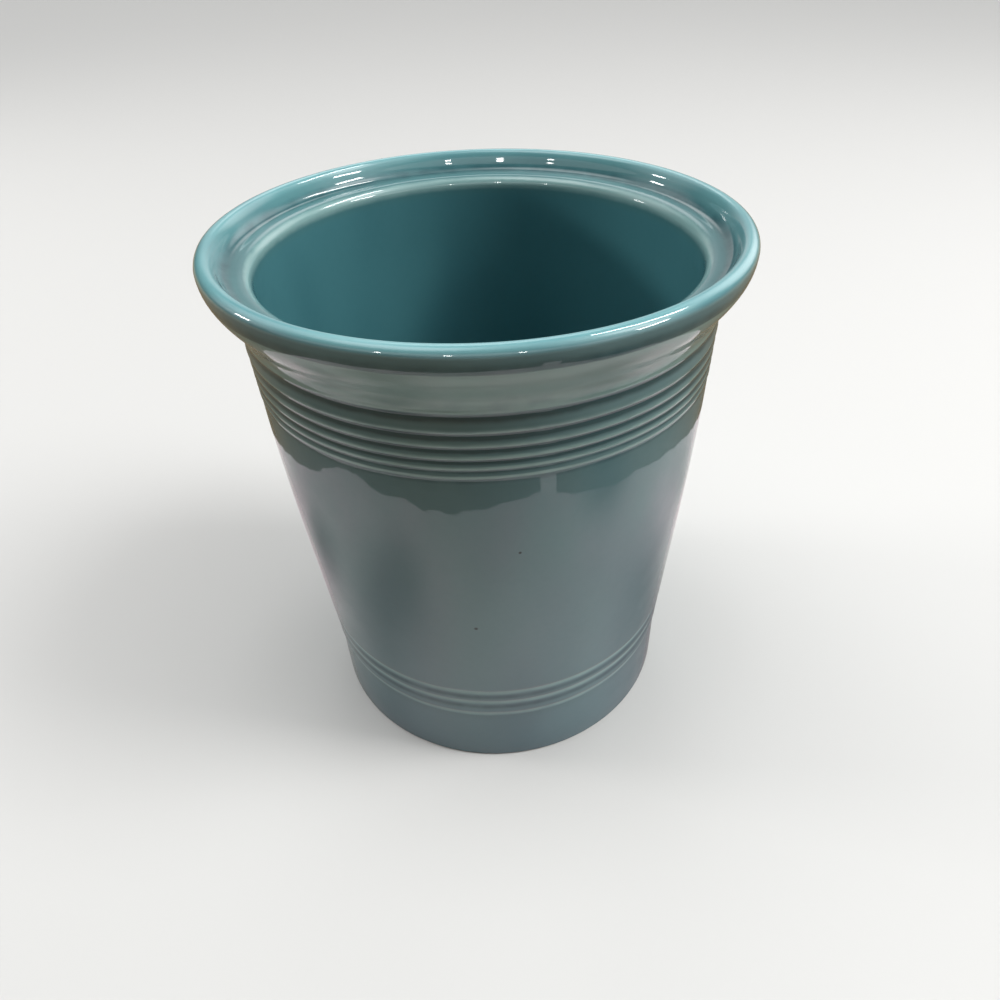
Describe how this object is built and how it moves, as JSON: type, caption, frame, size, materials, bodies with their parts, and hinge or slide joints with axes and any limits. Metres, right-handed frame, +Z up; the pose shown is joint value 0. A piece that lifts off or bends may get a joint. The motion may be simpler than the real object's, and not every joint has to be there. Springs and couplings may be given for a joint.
{
  "type": "open ceramic crock",
  "caption": "Open round glazed ceramic crock with a rounded lip, an inner lid ledge, a flared neck, stepped ridges and a slightly tapered wall, for holding dry food or tools.",
  "frame": {"origin": "on the axis of the vessel, at the plane of the foot ring that it stands on", "axes": "+Z up along the axis, out of the mouth; the vessel is turned, so X and Y are equal"},
  "size_m": [0.1534, 0.1534, 0.168],
  "materials": {
    "teal_glaze": "gloss grey-teal glaze, paler where it thins over the mouth edge and the ridge crests; bare fired clay on the foot ring"
  },
  "bodies": {
    "root": {"jar_body": "teal_glaze"}
  },
  "joints": []
}
